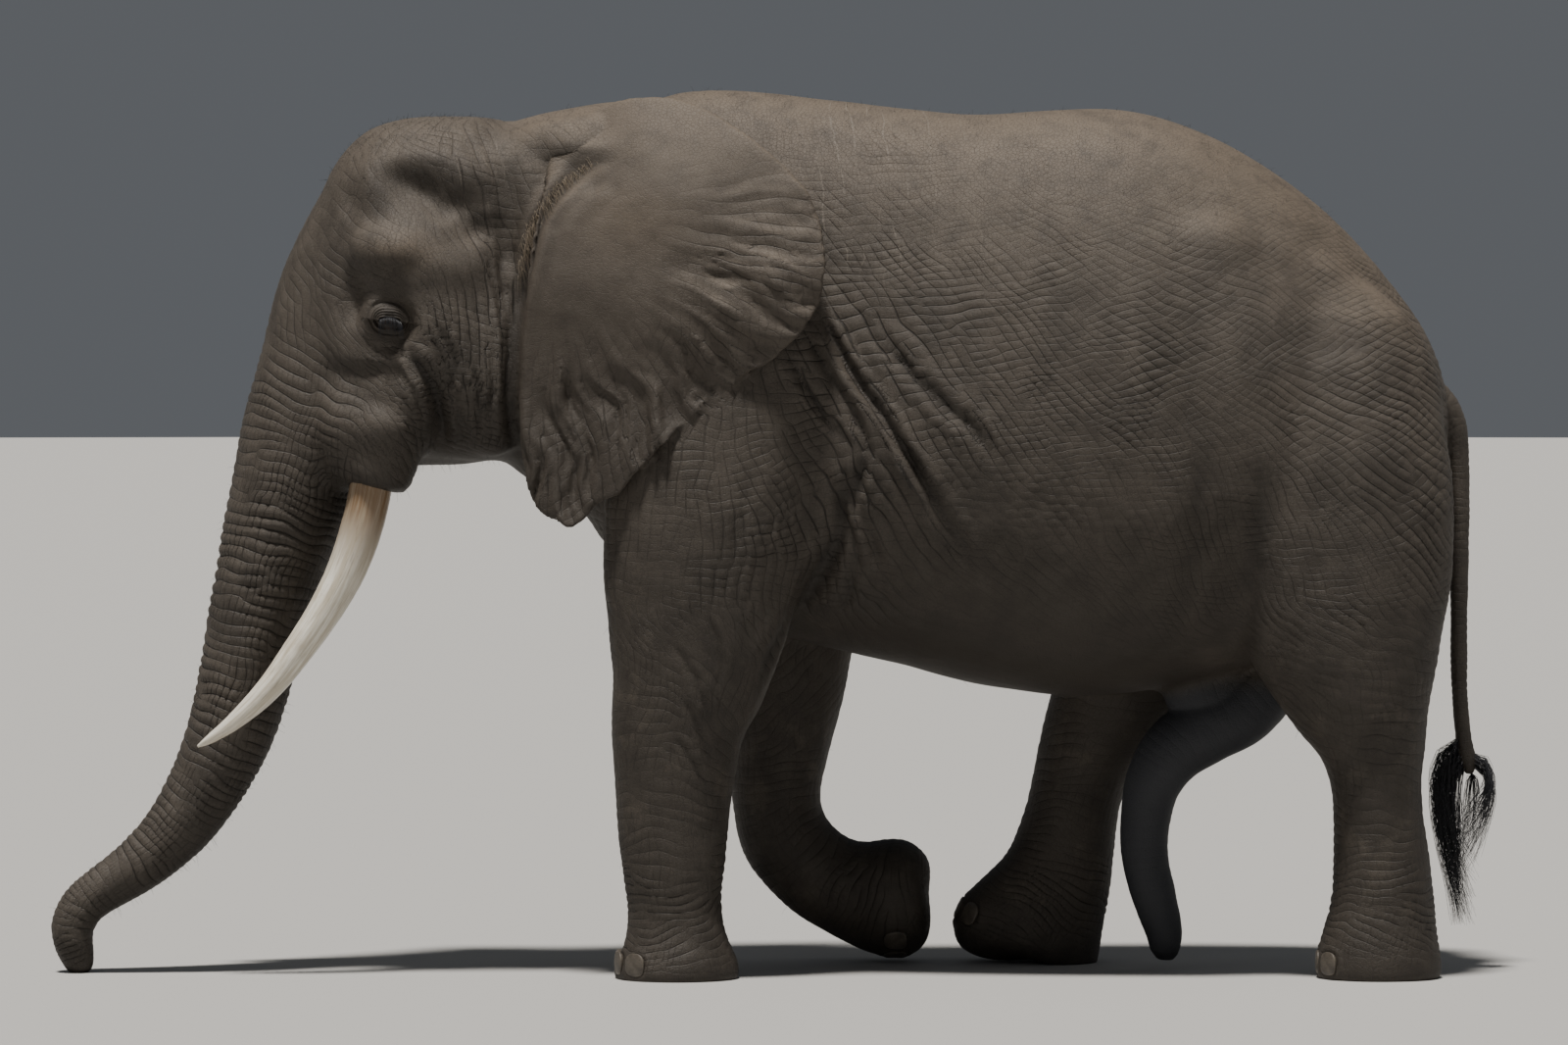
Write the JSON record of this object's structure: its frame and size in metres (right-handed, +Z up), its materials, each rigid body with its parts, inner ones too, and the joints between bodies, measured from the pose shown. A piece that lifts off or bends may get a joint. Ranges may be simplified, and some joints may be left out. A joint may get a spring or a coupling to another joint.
{
  "type": "elephant",
  "caption": "Life-size still model of a bull African savanna elephant, walking with its head low and its trunk tip on the ground.",
  "frame": {"origin": "centre of the bounding box on the floor, z = 0 at the soles", "axes": "the elephant faces -X with its left side towards -Y, +Z up"},
  "size_m": [5.2747, 1.2954, 3.2112],
  "materials": {
    "skin": "thick dry wrinkled grey-brown hide, dusty on the back",
    "leg_skin": "darker wrinkled hide with dried mud",
    "ear_skin": "thin hide, smooth above and folded at the hanging edge",
    "smooth_skin": "smooth grey skin, slightly moist",
    "eye": "glossy dark brown eye",
    "ivory": "cream ivory with fine lengthwise cracks, stained near the socket",
    "nail": "dull horn, scuffed and dusty",
    "hair": "stiff black wire-like hair"
  },
  "bodies": {
    "root": {"torso": "skin", "neck": "skin", "head": "skin", "lower_jaw": "skin", "trunk": "skin", "ear_left": "ear_skin", "ear_right": "ear_skin", "eye_left": "eye", "eye_right": "eye", "tusk_left": "ivory", "tusk_right": "ivory", "foreleg_left": "leg_skin", "foreleg_right": "leg_skin", "hindleg_left": "leg_skin", "hindleg_right": "leg_skin", "tail": "leg_skin", "tail_tuft": "hair", "penis": "smooth_skin", "nail_fore_left_1": "nail", "nail_fore_left_2": "nail", "nail_fore_left_3": "nail", "nail_fore_left_4": "nail", "nail_fore_right_1": "nail", "nail_fore_right_2": "nail", "nail_fore_right_3": "nail", "nail_fore_right_4": "nail", "nail_hind_left_1": "nail", "nail_hind_left_2": "nail", "nail_hind_left_3": "nail", "nail_hind_right_1": "nail", "nail_hind_right_2": "nail", "nail_hind_right_3": "nail"}
  },
  "joints": []
}
